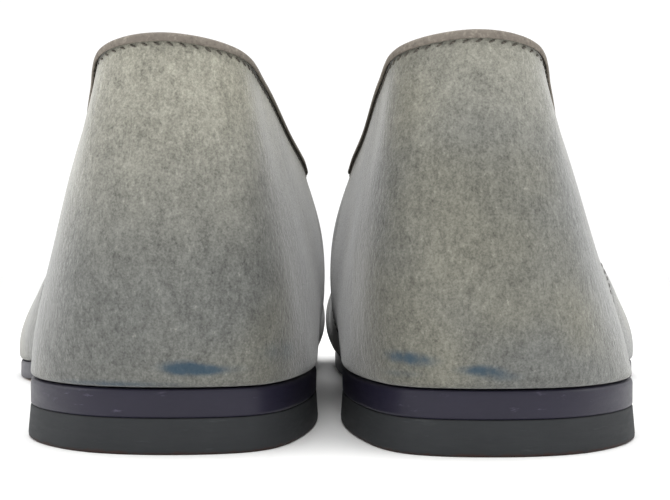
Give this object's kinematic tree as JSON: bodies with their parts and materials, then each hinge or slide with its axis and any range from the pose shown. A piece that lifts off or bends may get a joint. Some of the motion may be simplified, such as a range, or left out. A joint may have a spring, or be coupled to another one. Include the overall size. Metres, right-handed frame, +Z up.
{
  "type": "pair of suede loafers",
  "caption": "Pair of low-heeled suede moccasin loafers with a saddle strap, bound topline, leather sole and rubber heel lift.",
  "frame": {"origin": "on the floor, below the middle of the pair's bounding box", "axes": "+Y from heels to toes, +Z up from the floor, +X to the right of a wearer"},
  "size_m": [0.2094, 0.2986, 0.0796],
  "materials": {
    "suede": "grey brushed suede, matt",
    "binding": "folded taupe-grey leather edge",
    "lining": "smooth tan lining leather",
    "fibreboard": "stiffened leatherboard",
    "sole_leather": "leather with a glossy navy edge dressing",
    "rubber_lift": "charcoal rubber, satin",
    "steel": "plain steel",
    "cork": "pressed cork sheet",
    "insole_leather": "vegetable-tanned insole board",
    "foam": "latex foam",
    "sock_leather": "smooth leather sock"
  },
  "bodies": {
    "left_shoe": {"left_quarter": "suede", "left_vamp": "suede", "left_plug": "suede", "left_saddle_strap": "suede", "left_heel_counter": "fibreboard", "left_toe_puff": "fibreboard", "left_quarter_lining": "lining", "left_vamp_lining": "lining", "left_topline_binding": "binding", "left_outsole": "sole_leather", "left_heel_lift": "rubber_lift", "left_heel_nail_1": "steel", "left_heel_nail_2": "steel", "left_heel_nail_3": "steel", "left_heel_nail_4": "steel", "left_heel_nail_5": "steel", "left_filler": "cork", "left_shank": "steel", "left_insole_board": "insole_leather", "left_heel_pad": "foam", "left_sock_liner": "sock_leather"},
    "right_shoe": {"right_quarter": "suede", "right_vamp": "suede", "right_plug": "suede", "right_saddle_strap": "suede", "right_heel_counter": "fibreboard", "right_toe_puff": "fibreboard", "right_quarter_lining": "lining", "right_vamp_lining": "lining", "right_topline_binding": "binding", "right_outsole": "sole_leather", "right_heel_lift": "rubber_lift", "right_heel_nail_1": "steel", "right_heel_nail_2": "steel", "right_heel_nail_3": "steel", "right_heel_nail_4": "steel", "right_heel_nail_5": "steel", "right_filler": "cork", "right_shank": "steel", "right_insole_board": "insole_leather", "right_heel_pad": "foam", "right_sock_liner": "sock_leather"}
  },
  "joints": [
    {"name": "right_shoe_lift", "type": "slide", "parent": "left_shoe", "child": "right_shoe", "axis": [0, 0, 1], "range_m": [0, 0.12]}
  ]
}
